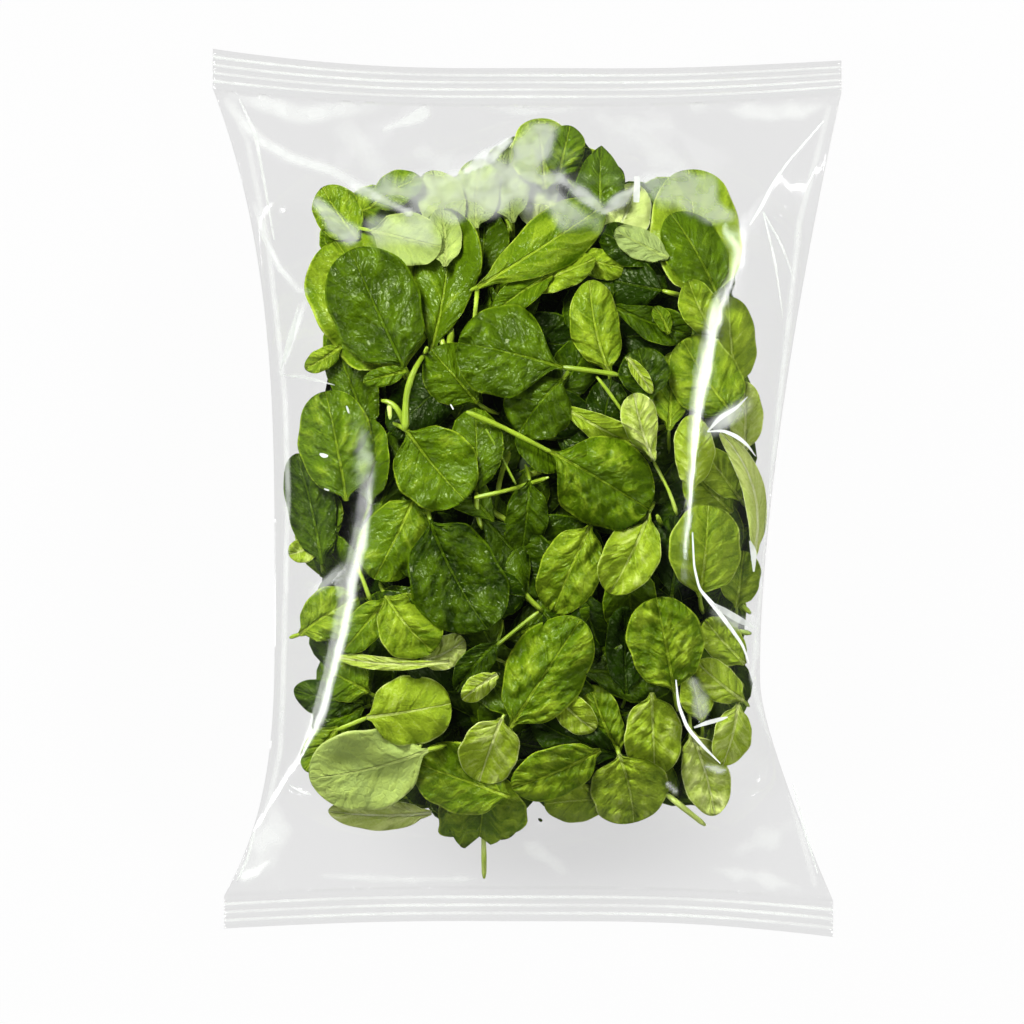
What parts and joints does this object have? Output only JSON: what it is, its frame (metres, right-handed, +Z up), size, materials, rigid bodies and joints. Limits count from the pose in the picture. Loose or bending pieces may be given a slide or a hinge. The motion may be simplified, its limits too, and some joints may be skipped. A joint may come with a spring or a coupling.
{
  "type": "bag of baby spinach",
  "caption": "Clear sealed pillow bag of loose baby spinach leaves, crimped across both ends and lying flat with its shown side up.",
  "frame": {"origin": "centre of the bag's box, on the surface it lies on", "axes": "+X across the bag to its right as seen from above, +Y along the bag to its head seal, +Z up through the shown side"},
  "size_m": [0.225, 0.318, 0.072],
  "materials": {
    "film": "clear glossy polypropylene film, creased, crimped white along both seals",
    "leaf": "fresh baby spinach leaf, satin green with paler veins and a pale matt underside",
    "stem": "moist pale yellow-green leaf stem"
  },
  "bodies": {
    "root": {"spinach_bag": "film"}
  },
  "joints": []
}
